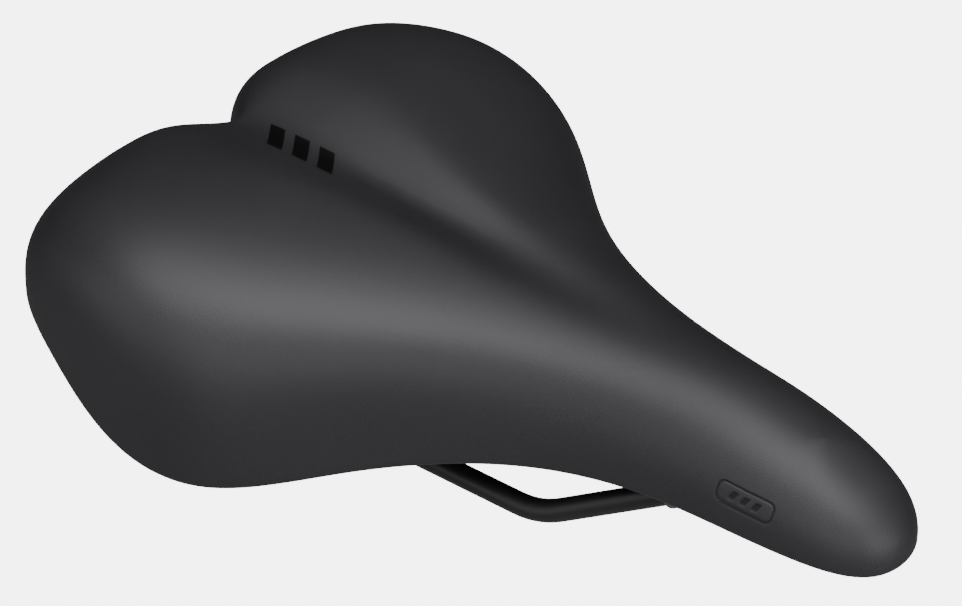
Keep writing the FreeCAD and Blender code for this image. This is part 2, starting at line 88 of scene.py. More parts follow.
class SmoothCurve:
    """Cubic curve of continuous curvature through given values."""

    def __init__(
        self, knots: Sequence[float], values: Sequence[float], ends: EndRule = EndRule.NATURAL
    ) -> None:
        """Solves for the slopes at the knots.

        Args:
            knots: Rising stations.
            values: Value at each station.
            ends: What holds at the first and last station.
        """
        self.knots = np.asarray(knots, float)
        self.values = np.asarray(values, float)
        steps = np.diff(self.knots)
        rises = np.diff(self.values) / steps
        count = len(self.knots)
        system = np.zeros((count, count))
        right = np.zeros(count)
        for i in range(1, count - 1):
            before, after = 1 / steps[i - 1], 1 / steps[i]
            system[i, i - 1 : i + 2] = before, 2 * (before + after), after
            right[i] = 3 * (rises[i - 1] * before + rises[i] * after)
        system[0, 0] = system[-1, -1] = 2.0
        if ends is EndRule.NATURAL:
            system[0, 1] = system[-1, -2] = 1.0
            right[0], right[-1] = 3 * rises[0], 3 * rises[-1]
        self.slopes = np.linalg.solve(system, right)

    def __call__(self, at: np.ndarray) -> np.ndarray:
        """Value of the curve, held level beyond its ends.

        Args:
            at: Stations.

        Returns:
            Value at each station.
        """
        at = np.clip(at, self.knots[0], self.knots[-1])
        i = np.clip(np.searchsorted(self.knots, at) - 1, 0, len(self.knots) - 2)
        step = self.knots[i + 1] - self.knots[i]
        t = (at - self.knots[i]) / step
        return (
            self.values[i] * (1 + 2 * t) * (1 - t) ** 2
            + self.values[i + 1] * (3 - 2 * t) * t**2
            + self.slopes[i] * step * t * (1 - t) ** 2
            + self.slopes[i + 1] * step * (t - 1) * t**2
        )


def smooth_step(low: float, high: float, at: np.ndarray) -> np.ndarray:
    """Rises smoothly from 0 at low to 1 at high."""
    t = np.clip((at - low) / (high - low), 0, 1)
    return t * t * (3 - 2 * t)


def ring_faces(rings: int, around: int, first: int = 0) -> list[tuple[int, int, int, int]]:
    """Quads between closed rings of points.

    Args:
        rings: Number of rings, inner one first.
        around: Points in each ring, clockwise from above.
        first: Index of the first ring's first point.

    Returns:
        Quads that face up where the rings spread outwards.
    """
    quads = []
    for j in range(rings - 1):
        for i in range(around):
            after = (i + 1) % around
            low, high = first + j * around, first + (j + 1) * around
            quads.append((low + i, low + after, high + after, high + i))
    return quads


def link(name: str, data: bpy.types.ID) -> bpy.types.Object:
    """Puts new data into the scene as an object at the origin."""
    made = bpy.data.objects.new(name, data)
    bpy.context.scene.collection.objects.link(made)
    return made


def new_piece(name: str, points: np.ndarray, faces: Sequence[Sequence[int]]) -> bpy.types.Object:
    """Object at the origin with smooth-shaded faces and its doubled points merged.

    Args:
        name: Piece name.
        points: Rows of x, y and z in millimetres.
        faces: Point indices of each face.

    Returns:
        The linked object.
    """
    mesh = bpy.data.meshes.new(name)
    mesh.from_pydata((points * MM).tolist(), [], [list(f) for f in faces])
    work = bmesh.new()
    work.from_mesh(mesh)
    bmesh.ops.remove_doubles(work, verts=work.verts, dist=1e-6)
    work.to_mesh(mesh)
    work.free()
    mesh.validate()
    mesh.shade_smooth()
    return link(name, mesh)


def settle(piece: bpy.types.Object, sharp_degrees: float = 50.0) -> bpy.types.Object:
    """Turns a piece's modifiers into plain mesh and marks its sharp edges.

    Args:
        piece: Object with modifiers.
        sharp_degrees: Angle past which an edge is shaded sharp.

    Returns:
        The same object, without modifiers.
    """
    bpy.context.view_layer.update()
    seen = piece.evaluated_get(bpy.context.evaluated_depsgraph_get())
    mesh = bpy.data.meshes.new_from_object(seen)
    piece.modifiers.clear()
    piece.data = mesh
    mesh.name = piece.name
    mesh.shade_smooth()
    mesh.set_sharp_from_angle(angle=math.radians(sharp_degrees))
    return piece


def clothe(piece: bpy.types.Object, material: bpy.types.Material) -> None:
    """Gives a piece one material in all its slots."""
    if not piece.data.materials:
        piece.data.materials.append(material)
    for place in piece.material_slots:
        place.material = material


def surface_tree(mesh: bpy.types.Mesh) -> BVHTree:
    """Search tree of a mesh's faces."""
    return BVHTree.FromPolygons(
        [v.co.copy() for v in mesh.vertices], [tuple(p.vertices) for p in mesh.polygons]
    )


def cast(tree: BVHTree, x: float, y: float, start: float, down: bool) -> float | None:
    """Height in millimetres at which a vertical ray first meets a surface.

    Args:
        tree: Surface to meet.
        x: Station, in millimetres.
        y: Distance to the left, in millimetres.
        start: Height that the ray starts from, in millimetres.
        down: Whether the ray runs down.

    Returns:
        The height, or None where the ray misses.
    """
    way = Vector((0, 0, -1 if down else 1))
    found = tree.ray_cast(Vector((x, y, start)) * MM, way)[0]
    return None if found is None else found.z / MM


# ---------------------------------------------------------------- shader building
class Graph:
    """Adds and joins nodes in one shader or geometry tree."""

    def __init__(self, tree: bpy.types.NodeTree) -> None:
        """Keeps the tree that the nodes go into."""
        self.tree = tree

    def add(
        self, kind: str, inputs: Mapping[int | str, object] | None = None, **settings: object
    ) -> bpy.types.Node:
        """Adds a node.

        Args:
            kind: Node type.
            inputs: Value, or socket to join, for each input by name or index.
            **settings: Properties set before the inputs.

        Returns:
            The new node.
        """
        node = self.tree.nodes.new(kind)
        for key, value in settings.items():
            setattr(node, key, value)
        for key, value in (inputs or {}).items():
            if isinstance(value, bpy.types.NodeSocket):
                self.tree.links.new(value, node.inputs[key])
            else:
                node.inputs[key].default_value = value
        return node

    def math(self, operation: str, *values: object) -> bpy.types.NodeSocket:
        """Result of one math node on values or sockets."""
        return self.add("ShaderNodeMath", dict(enumerate(values)), operation=operation).outputs[0]

    def noise(
        self, vector: object, scale: float, detail: float = 2.0, roughness: float = 0.5
    ) -> bpy.types.NodeSocket:
        """Noise between 0 and 1, with its scale in cells per metre."""
        values = {"Vector": vector, "Scale": scale, "Detail": detail, "Roughness": roughness}
        return self.add("ShaderNodeTexNoise", values).outputs[0]

    def spread(
        self, value: object, low: float, high: float, to_low: float = 0.0, to_high: float = 1.0
    ) -> bpy.types.NodeSocket:
        """Value carried smoothly from one range to another."""
        values = {0: value, 1: low, 2: high, 3: to_low, 4: to_high}
        return self.add(
            "ShaderNodeMapRange", values, interpolation_type="SMOOTHSTEP"
        ).outputs[0]

    def mix(self, share: object, first: object, second: object) -> bpy.types.NodeSocket:
        """Colour between two colours."""
        node = self.add("ShaderNodeMix", data_type="RGBA")
        for key, value in ((0, share), (6, first), (7, second)):
            if isinstance(value, bpy.types.NodeSocket):
                self.tree.links.new(value, node.inputs[key])
            else:
                node.inputs[key].default_value = value
        return node.outputs[2]


def shader_group(
    name: str, inputs: Mapping[str, float], outputs: Sequence[str]
) -> tuple[bpy.types.NodeTree, Graph, bpy.types.Node, bpy.types.Node]:
    """Empty node group with a vector input, number inputs and number outputs.

    Args:
        name: Group name.
        inputs: Default of each number input.
        outputs: Names of the number outputs.

    Returns:
        The group, its graph, its input node and its output node.
    """
    tree = bpy.data.node_groups.new(name, "ShaderNodeTree")
    tree.interface.new_socket("Vector", in_out="INPUT", socket_type="NodeSocketVector")
    for key, value in inputs.items():
        made = tree.interface.new_socket(key, in_out="INPUT", socket_type="NodeSocketFloat")
        made.default_value = value
    for key in outputs:
        tree.interface.new_socket(key, in_out="OUTPUT", socket_type="NodeSocketFloat")
    graph = Graph(tree)
    return tree, graph, graph.add("NodeGroupInput"), graph.add("NodeGroupOutput")


def build_grain() -> bpy.types.NodeTree:
    """Moulded or embossed skin grain: soft cells with finer noise between them."""
    tree, g, given, out = shader_group("skin_grain", {"Cells": 1400.0, "Fine": 0.35}, ["Height", "Pores"])
    warp = g.add("ShaderNodeTexNoise", {"Vector": given.outputs["Vector"], "Scale": 700.0})
    shift = g.add("ShaderNodeVectorMath", {0: warp.outputs[1], 1: (0.0009,) * 3}, operation="MULTIPLY")
    moved = g.add(
        "ShaderNodeVectorMath", {0: given.outputs["Vector"], 1: shift.outputs[0]}, operation="ADD"
    )
    cells = g.add(
        "ShaderNodeTexVoronoi",
        {"Vector": moved.outputs[0], "Scale": given.outputs["Cells"]},
        feature="DISTANCE_TO_EDGE",
    )
    dome = g.spread(cells.outputs["Distance"], 0.0, 0.3)
    fine_scale = g.math("MULTIPLY", given.outputs["Cells"], 2.6)
    fine = g.add("ShaderNodeTexNoise", {"Vector": moved.outputs[0], "Scale": fine_scale, "Detail": 2.0})
    rough = g.math("MULTIPLY", fine.outputs[0], given.outputs["Fine"])
    height = g.math("ADD", dome, rough)
    g.tree.links.new(height, out.inputs["Height"])
    g.tree.links.new(g.math("SUBTRACT", 1.0, dome), out.inputs["Pores"])
    return tree


def build_mottle() -> bpy.types.NodeTree:
    """Slow, cloudy unevenness with a little fine dust in it."""
    tree, g, given, out = shader_group("mottle", {"Size": 30.0, "Dust": 0.3}, ["Clouds", "Specks"])
    clouds = g.add(
        "ShaderNodeTexNoise",
        {"Vector": given.outputs["Vector"], "Scale": given.outputs["Size"], "Detail": 4.0},
    )
    specks = g.noise(given.outputs["Vector"], 2600.0, 1.0)
    thin = g.math("MULTIPLY", g.spread(specks, 0.62, 0.8), given.outputs["Dust"])
    g.tree.links.new(g.spread(clouds.outputs[0], 0.3, 0.7), out.inputs["Clouds"])
    g.tree.links.new(thin, out.inputs["Specks"])
    return tree


def build_scratches() -> bpy.types.NodeTree:
    """Fine handling marks that run along one way of the piece."""
    tree, g, given, out = shader_group("scratches", {"Density": 300.0, "Stretch": 0.06}, ["Lines"])
    scale = g.add("ShaderNodeCombineXYZ", {0: given.outputs["Stretch"], 1: 1.0, 2: 1.0})
    drawn = g.add(
        "ShaderNodeVectorMath", {0: given.outputs["Vector"], 1: scale.outputs[0]}, operation="MULTIPLY"
    )
    lines = g.add(
        "ShaderNodeTexNoise",
        {"Vector": drawn.outputs[0], "Scale": given.outputs["Density"], "Detail": 3.0},
    )
    g.tree.links.new(g.spread(lines.outputs[0], 0.56, 0.72), out.inputs["Lines"])
    return tree


def build_bars() -> bpy.types.NodeTree:
    """Mask of a short row of leaning printed bars, seen from above."""
    names = {
        "Station": 0.0, "Side": 0.0, "Pitch": 0.01, "Share": 0.5, "Count": 3.0, "Half": 0.005, "Lean": 0.3
    }
    tree, g, given, out = shader_group("printed_bars", names, ["Mask"])
    place = g.add("ShaderNodeSeparateXYZ", {0: given.outputs["Vector"]})
    side = g.math("SUBTRACT", place.outputs[1], given.outputs["Side"])
    along = g.math("SUBTRACT", place.outputs[0], given.outputs["Station"])
    leaned = g.math("ADD", along, g.math("MULTIPLY", side, given.outputs["Lean"]))
    steps = g.math("DIVIDE", leaned, given.outputs["Pitch"])
    fraction = g.math("FRACT", g.math("ADD", steps, 100.0))
    off = g.math("ABSOLUTE", g.math("SUBTRACT", fraction, 0.5))
    bar = g.spread(g.math("SUBTRACT", g.math("MULTIPLY", given.outputs["Share"], 0.5), off), -0.015, 0.015)
    ahead = g.spread(steps, -0.001, 0.001)
    within = g.spread(g.math("SUBTRACT", given.outputs["Count"], steps), -0.001, 0.001)
    depth = g.math("SUBTRACT", given.outputs["Half"], g.math("ABSOLUTE", side))
    cut = g.spread(depth, -0.00012, 0.00012)
    mask = g.math("MULTIPLY", g.math("MULTIPLY", bar, cut), g.math("MULTIPLY", ahead, within))
    g.tree.links.new(mask, out.inputs["Mask"])
    return tree


@dataclass(frozen=True)
class ShaderLibrary:
    """Node groups that several finishes share."""

    grain: bpy.types.NodeTree = field(default_factory=build_grain)
    mottle: bpy.types.NodeTree = field(default_factory=build_mottle)
    scratches: bpy.types.NodeTree = field(default_factory=build_scratches)
    bars: bpy.types.NodeTree = field(default_factory=build_bars)


Colour = tuple[float, float, float]


@dataclass(frozen=True)
class Finish:
    """Base of every finish: a colour that wanders a little, a roughness and a fine relief."""

    name: str
    colour: Colour
    shade: Colour
    roughness: float
    uneven: float = 0.05  # how far the roughness wanders
    specular: float = 0.5
    tint: Colour = (1.0, 1.0, 1.0)
    metallic: float = 0.0
    coat: float = 0.0
    coat_roughness: float = 0.1
    sheen: float = 0.0
    cells: float = 1400.0  # grain cells in a metre
    fine: float = 0.35
    relief: float = 0.02  # depth of the grain, in millimetres
    cloud_size: float = 30.0
    dust: float = 0.2

    def place_group(
        self, g: Graph, tree: bpy.types.NodeTree, where: object, **values: object
    ) -> bpy.types.Node:
        """Places a shared group with this finish's values.

        Args:
            g: Material graph.
            tree: The group.
            where: Vector socket that it reads.
            **values: Number for each of its named inputs.

        Returns:
            The group's node.
        """
        node = g.add("ShaderNodeGroup", node_tree=tree)
        g.tree.links.new(where, node.inputs["Vector"])
        for key, value in values.items():
            node.inputs[key].default_value = value
        return node

    def colour_of(self, g: Graph, clouds: object, specks: object) -> bpy.types.NodeSocket:
        """Colour that wanders between the finish's two colours, with pale dust specks."""
        base = g.mix(clouds, (*self.colour, 1), (*self.shade, 1))
        pale = tuple(min(1.0, c * 1.8 + 0.01) for c in self.colour)
        return g.mix(specks, base, (*pale, 1))

    def details(
        self, g: Graph, shaders: ShaderLibrary, where: object, sockets: dict[str, object]
    ) -> None:
        """Hook for what one finish adds to its colour, roughness or relief.

        Args:
            g: Material graph.
            shaders: Shared groups.
            where: Object coordinates.
            sockets: Colour, roughness, relief and specular so far, changed in place.
        """

    def build(self, shaders: ShaderLibrary) -> bpy.types.Material:
        """Makes the material.

        Args:
            shaders: Shared groups.

        Returns:
            The new material.
        """
        material = bpy.data.materials.new(self.name)
        material.use_nodes = True
        material.node_tree.nodes.clear()
        g = Graph(material.node_tree)
        where = g.add("ShaderNodeTexCoord").outputs["Object"]
        grain = self.place_group(g, shaders.grain, where, Cells=self.cells, Fine=self.fine)
        mottle = self.place_group(g, shaders.mottle, where, Size=self.cloud_size, Dust=self.dust)
        least = self.roughness - self.uneven / 2
        wander = g.math("MULTIPLY_ADD", mottle.outputs["Clouds"], self.uneven, least)
        sockets: dict[str, object] = {
            "colour": self.colour_of(g, mottle.outputs["Clouds"], mottle.outputs["Specks"]),
            "roughness": g.math("MULTIPLY_ADD", grain.outputs["Pores"], self.uneven, wander),
            "height": grain.outputs["Height"],
            "specular": self.specular,
        }
        self.details(g, shaders, where, sockets)
        bump = g.add(
            "ShaderNodeBump",
            {"Strength": 1.0, "Distance": self.relief * MM, "Height": sockets["height"]},
        )
        shader = g.add(
            "ShaderNodeBsdfPrincipled",
            {
                "Base Color": sockets["colour"],
                "Roughness": sockets["roughness"],
                "Metallic": self.metallic,
                "Specular IOR Level": sockets["specular"],
                "Specular Tint": (*self.tint, 1),
                "Coat Weight": self.coat,
                "Coat Roughness": self.coat_roughness,
                "Sheen Weight": self.sheen,
                "Sheen Roughness": 0.5,
                "Normal": bump.outputs[0],
            },
        )
        g.add("ShaderNodeOutputMaterial", {"Surface": shader.outputs[0]})
        return material


@dataclass(frozen=True)
class SkinFinish(Finish):
    """Matte synthetic leather with a pressed badge, painted shade in the badge's pressed lines, and a
    printed row of bars.
    """

    badge_layer: str = "badge"
    print_station: float = -78.0
    print_side: float = -2.5
    print_pitch: float = 9.8
    print_share: float = 0.6
    print_half: float = 5.5
    print_lean: float = 0.75
    # colour of the printed bars, also used as the painted shade in the badge's pressed lines
    ink_and_painted_shade: Colour = (0.0015, 0.0015, 0.0017)

    def details(
        self, g: Graph, shaders: ShaderLibrary, where: object, sockets: dict[str, object]
    ) -> None:
        """Paints shade into the pressed badge's lines, darkening them towards the ink colour, and prints
        the bars in black ink.

        Args:
            g: Material graph.
            shaders: Shared groups.
            where: Object coordinates.
            sockets: Colour, roughness, relief and specular so far, changed in place.
        """
        bars = self.place_group(
            g, shaders.bars, where,
            Station=self.print_station * MM, Side=self.print_side * MM, Pitch=self.print_pitch * MM,
            Share=self.print_share, Count=3.0, Half=self.print_half * MM, Lean=self.print_lean,
        )
        pressed = g.add("ShaderNodeAttribute", attribute_name=self.badge_layer).outputs["Fac"]
        # painted shade: the pressed lines are darkened towards the ink colour, as if shade lay in their
        # recess
        tint = g.math("MULTIPLY", pressed, 0.6)
        sockets["colour"] = g.mix(tint, sockets["colour"], (*self.ink_and_painted_shade, 1))
        sockets["colour"] = g.mix(bars.outputs["Mask"], sockets["colour"], (*self.ink_and_painted_shade, 1))
        sockets["roughness"] = g.math("MULTIPLY_ADD", pressed, 0.06, sockets["roughness"])
        dull = g.math("MAXIMUM", g.math("MULTIPLY", pressed, 0.6), bars.outputs["Mask"])
        sockets["specular"] = g.math("MULTIPLY_ADD", dull, -0.36, self.specular)
        sockets["roughness"] = g.math(
            "MULTIPLY_ADD", bars.outputs["Mask"], -0.06, sockets["roughness"]
        )


@dataclass(frozen=True)
class MetalFinish(Finish):
    """Metal or painted metal with fine handling marks."""

    density: float = 300.0
    stretch: float = 0.06
    mark: float = 0.12  # how much the marks change the roughness
    mark_tint: float = 0.1

    def details(
        self, g: Graph, shaders: ShaderLibrary, where: object, sockets: dict[str, object]
    ) -> None:
        """Adds the marks to the roughness and, faintly, to the colour.

        Args:
            g: Material graph.
            shaders: Shared groups.
            where: Object coordinates.
            sockets: Colour, roughness, relief and specular so far, changed in place.
        """
        marks = self.place_group(
            g, shaders.scratches, where, Density=self.density, Stretch=self.stretch
        ).outputs["Lines"]
        pale = tuple(min(1.0, c * 2.2 + 0.02) for c in self.colour)
        tint = g.math("MULTIPLY", marks, self.mark_tint)
        sockets["colour"] = g.mix(tint, sockets["colour"], (*pale, 1))
        sockets["roughness"] = g.math("MULTIPLY_ADD", marks, self.mark, sockets["roughness"])


@dataclass(frozen=True)
class FoamFinish(Finish):
    """Open skin of moulded foam, with small burst bubbles whose hollows get painted shade."""

    bubbles: float = 520.0

    def details(
        self, g: Graph, shaders: ShaderLibrary, where: object, sockets: dict[str, object]
    ) -> None:
        """Adds burst bubbles to the relief and paints shade into their hollows.

        Args:
            g: Material graph.
            shaders: Shared groups; not used.
            where: Object coordinates.
            sockets: Colour, roughness, relief and specular so far, changed in place.
        """
        cells = g.add("ShaderNodeTexVoronoi", {"Vector": where, "Scale": self.bubbles})
        burst = g.spread(cells.outputs["Distance"], 0.12, 0.3)
        # painted shade: the colour darkens towards each bubble's hollow middle
        painted_bubble_shade = tuple(c * 0.55 for c in self.colour)
        sockets["colour"] = g.mix(burst, (*painted_bubble_shade, 1), sockets["colour"])
        sockets["height"] = g.math("ADD", sockets["height"], burst)


@dataclass(frozen=True)
class GelFinish(Finish):
    """Clear, soft gel with a few trapped bubbles."""

    transmission: float = 0.35
    ior: float = 1.42

    def build(self, shaders: ShaderLibrary) -> bpy.types.Material:
        """Makes the material and lets some light through it.

        Args:
            shaders: Shared groups.

        Returns:
            The new material.
        """
        material = super().build(shaders)
        for node in material.node_tree.nodes:
            if node.type == "BSDF_PRINCIPLED":
                node.inputs["Transmission Weight"].default_value = self.transmission
                node.inputs["IOR"].default_value = self.ior
        return material


# ---------------------------------------------------------------- the padding's shape
@dataclass(frozen=True)
class PaddingShape:
    """Outside surface of the padded top, from a spine out to the edge."""

    outline: tuple[tuple[float, float], ...] = (
        (0.0747, 0.0), (0.0352, 0.1301), (0.0006, 0.4925), (0.0319, 0.8195), (0.114, 0.9417),
        (0.215, 0.9979), (0.3262, 0.9512), (0.4501, 0.6321), (0.5814, 0.3879), (0.7383, 0.2749),
        (0.9013, 0.2341), (0.9898, 0.1105), (1.0, 0.0),
    )  # shares of the length and of the half width, from the notch round to the nose
    edge: tuple[tuple[float, float], ...] = (
        (-0.0219, 47.64), (0.0808, 36.79), (0.2041, 19.65), (0.4095, 16.12), (0.6149, 24.97),
        (0.8203, 26.96), (1.0052, 22.49),
    )
    crown: tuple[tuple[float, float], ...] = (
        (0.05, 81.43), (0.1835, 81.71), (0.3376, 76.01), (0.4916, 68.08), (0.6457, 62.21),
        (0.8203, 56.24), (0.9333, 49.38), (1.0052, 49.61),
    )
    fullness: tuple[tuple[float, float], ...] = (
        (0.0401, 3.347), (0.2094, 4.532), (0.3787, 2.795), (0.548, 2.245), (0.7173, 1.915),
        (0.9054, 2.364),
    )  # of the section, where 2 is an ellipse and more is squarer
    steepness: tuple[tuple[float, float], ...] = (
        (0.0401, 0.828), (0.2094, 1.178), (0.3787, 1.029), (0.548, 0.802), (0.7173, 1.163),
        (0.9054, 0.97),
    )  # of the skirt, against a plain section's
    spine: tuple[float, float] = (0.1005, 0.8916)
    wing_station: float = 28.7
    wing_reach: float = 40.0
    wing_lift: float = 1.04
    wing_width: float = 60.0  # from the middle, where the lift is whole
    channel_depth: tuple[float, float] = (10.0, 11.75)  # at the tail and above the clamp
    channel_spread: tuple[float, float] = (19.5, 8.7)
    channel_run: float = 90.0
    channel_end: float = -14.7
    channel_reach: float = 49.5
    roll: float = 2.5  # radius of the turned-under edge
    steps: int = 2400  # that the outline's length is measured in

    @property
    def tail(self) -> float:
        """Station of the tail's rear."""
        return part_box("cover")[0].x / MM

    @property
    def length(self) -> float:
        """Overall length."""
        low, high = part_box("cover")
        return (high.x - low.x) / MM

    @property
    def half_width(self) -> float:
        """Half of the overall width."""
        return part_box("cover")[1].y / MM

    def stations(self, shares: Sequence[float]) -> np.ndarray:
        """Stations at shares of the length."""
        return self.tail + np.asarray(shares) * self.length

    def curve(self, table: Sequence[tuple[float, float]]) -> SmoothCurve:
        """Smooth height along the saddle, from (share, height) pairs."""
        return SmoothCurve(self.stations([p[0] for p in table]), [p[1] for p in table])

    def half_outline(self, s: np.ndarray, inset: float | np.ndarray = 0.0) -> tuple[np.ndarray, ...]:
        """Points of the left half of the edge, moved inwards.

        Args:
            s: Shares of the half outline's length, from the notch to the nose.
            inset: Distance moved inwards.

        Returns:
            Station, distance to the left, and the edge's own station at each share.
        """
        points = np.array(self.outline)
        xs, ys = self.stations(points[:, 0]), points[:, 1] * self.half_width
        chords = np.concatenate([[0], np.cumsum(np.hypot(np.diff(xs), np.diff(ys)))])
        chords /= chords[-1]
        x_of, y_of = SmoothCurve(chords, xs, EndRule.LEVEL), SmoothCurve(chords, ys)
        fine = np.linspace(0, 1, self.steps)
        x, y = x_of(fine), y_of(fine)
        run = np.concatenate([[0], np.cumsum(np.hypot(np.diff(x), np.diff(y)))])
        run /= run[-1]
        dx, dy = np.gradient(x, run), np.gradient(y, run)
        dx[0] = dx[-1] = 0.0
        size = np.hypot(dx, dy)
        at = [np.interp(s, run, v) for v in (x, y, dy / size, -dx / size)]
        return at[0] + at[2] * inset, at[1] + at[3] * inset, at[0]

    def edge_height(self, x: np.ndarray) -> np.ndarray:
        """Height of the edge at a station, halfway round its roll."""
        return self.curve(self.edge)(x) + self.roll / 2

    def surface(
        self, s: np.ndarray, t: np.ndarray, inset: float = 0.0, drop: float = 0.0
    ) -> np.ndarray:
        """Grid of points on the left half of the surface.

        Args:
            s: Shares round the half outline.
            t: Shares from the spine to the edge.
            inset: Distance moved in from the edge.
            drop: Distance moved down from the top.

        Returns:
            Array of t by s by 3, in millimetres.
        """
        x_edge, y_edge, x_own = self.half_outline(s, inset)
        ends = self.stations(self.spine)
        spine = (ends[0] + ends[1]) / 2 - (ends[1] - ends[0]) / 2 * np.cos(math.pi * s)
        t = t[:, None]
        x = spine + (x_edge - spine) * t**2
        y = y_edge * t
        low = self.edge_height(x_own) + 0 * t
        power = self.curve(self.fullness)(x)
        steep = self.curve(self.steepness)(x)
        share = np.clip(1 - t**power, 0, 1) ** (1 / (power * steep))
        fade = 0.5 - 0.5 * np.tanh((x - self.channel_end) / self.channel_reach)
        ahead = smooth_step(-self.channel_run, 0.0, x)
        depth, spread = (v[0] + (v[1] - v[0]) * ahead for v in (self.channel_depth, self.channel_spread))
        groove = depth * fade * np.exp(-((y / spread) ** 2))
        mix = 0.5 + 0.5 * np.tanh((x - self.wing_station) / self.wing_reach)
        wing = self.wing_lift * (1 - mix) * (y / self.wing_width) ** 2
        high = self.curve(self.crown)(x) + wing - groove - drop
        return np.stack([x, y, low + (high - low) * share], -1)


def both_sides(left: np.ndarray) -> np.ndarray:
    """Whole rings from rings of the left half, clockwise from above."""
    right = left[:, -2:0:-1] * np.array([1, -1, 1])
    return np.concatenate([left, right], 1)


def denser(base: np.ndarray, low: float, high: float, count: int) -> np.ndarray:
    """Rising shares with an even, closer run between two of them."""
    outside = base[(base < low) | (base > high)]
    return np.sort(np.concatenate([outside, np.linspace(low, high, count)]))


# ---------------------------------------------------------------- sub-assemblies
@dataclass
class Badge:
    """Plain pressed pill with three bars, on the nose's right side."""

    s: float = 0.8666  # place round the half outline
    t: float = 0.949  # place between the spine and the edge
    length: float = 17.0
    height: float = 6.0
    corner: float = 1.8
    line: float = 0.55  # width of the pressed outline
    depth: float = 0.3
    bars: int = 3
    bar_length: float = 1.7
    bar_height: float = 2.3
    bar_gap: float = 3.6  # between the bars' middles
    bar_corner: float = 0.3
    bar_lean: float = 0.45
    bar_wall: tuple[float, float] = (-0.1, 0.25)  # from the bar's border, bottom and top of its wall

    def amount(self, along: np.ndarray, up: np.ndarray) -> np.ndarray:
        """How deeply each point is pressed.

        Args:
            along: Distance along the pill from its middle.
            up: Distance up from its middle.

        Returns:
            Shares from 0 to 1.
        """

        def frame_distance(
            dx: np.ndarray, dy: np.ndarray, wide: float, tall: float, corner: float
        ) -> np.ndarray:
            """Distance to a rounded rectangle's border, below zero inside."""
            qx, qy = np.abs(dx) - (wide / 2 - corner), np.abs(dy) - (tall / 2 - corner)
            outside = np.hypot(np.maximum(qx, 0), np.maximum(qy, 0))
            return outside + np.minimum(np.maximum(qx, qy), 0) - corner

        rim = np.abs(frame_distance(along, up, self.length, self.height, self.corner))
        pressed = 1 - smooth_step(self.line * 0.3, self.line * 0.75, rim)
        for k in range(self.bars):
            shift = (k - (self.bars - 1) / 2) * self.bar_gap
            leaned = along - shift - self.bar_lean * up
            bar = frame_distance(leaned, up, self.bar_length, self.bar_height, self.bar_corner)
            pressed = np.maximum(pressed, 1 - smooth_step(*self.bar_wall, bar))
        return pressed


